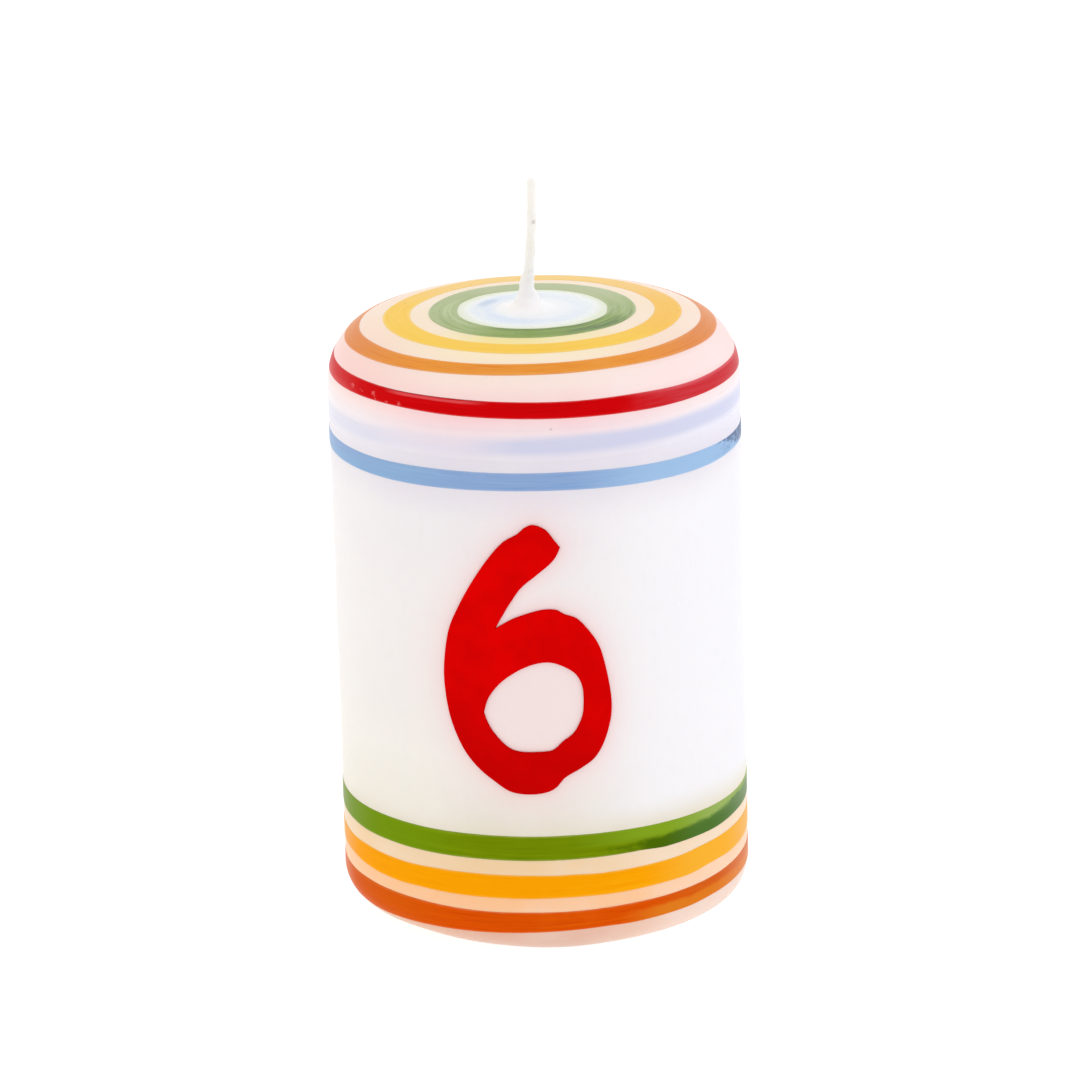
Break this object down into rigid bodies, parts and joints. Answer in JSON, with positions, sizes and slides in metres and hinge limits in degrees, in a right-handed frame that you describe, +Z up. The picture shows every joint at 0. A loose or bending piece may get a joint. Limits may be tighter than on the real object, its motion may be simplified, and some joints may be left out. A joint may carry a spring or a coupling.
{
  "type": "pillar candle",
  "caption": "Round white wax pillar candle with a domed top, painted coloured rings, a red numeral on its side and a bare wick; stands on its flat base.",
  "frame": {"origin": "middle of the base, on the table", "axes": "+Z up along the candle's axis; the numeral faces -Y, and +X is to its right as it is read"},
  "size_m": [0.0612, 0.0616, 0.11],
  "materials": {
    "core_wax": "dull wax",
    "white_coat": "polished wax",
    "wick_cotton": "braided cotton soaked in white wax",
    "tab_tin": "bright tinned sheet",
    "pale_blue_paint": "thin polished wax paint",
    "top_green_paint": "polished wax paint",
    "yellow_paint": "polished wax paint",
    "top_orange_paint": "polished wax paint",
    "red_paint": "polished wax paint",
    "lavender_paint": "thin polished wax paint",
    "blue_paint": "polished wax paint",
    "base_green_paint": "polished wax paint",
    "amber_paint": "polished wax paint",
    "base_orange_paint": "polished wax paint",
    "red_sheet": "polished wax sheet"
  },
  "bodies": {
    "root": {"wax_core": "core_wax", "dip_coat": "white_coat", "wick": "wick_cotton", "wick_tab": "tab_tin", "top_blue_wash": "pale_blue_paint", "top_green_ring": "top_green_paint", "top_yellow_ring": "yellow_paint", "shoulder_orange_ring": "top_orange_paint", "shoulder_red_ring": "red_paint", "lavender_band": "lavender_paint", "blue_ring": "blue_paint", "base_green_ring": "base_green_paint", "base_amber_ring": "amber_paint", "base_orange_ring": "base_orange_paint", "numeral": "red_sheet"}
  },
  "joints": []
}
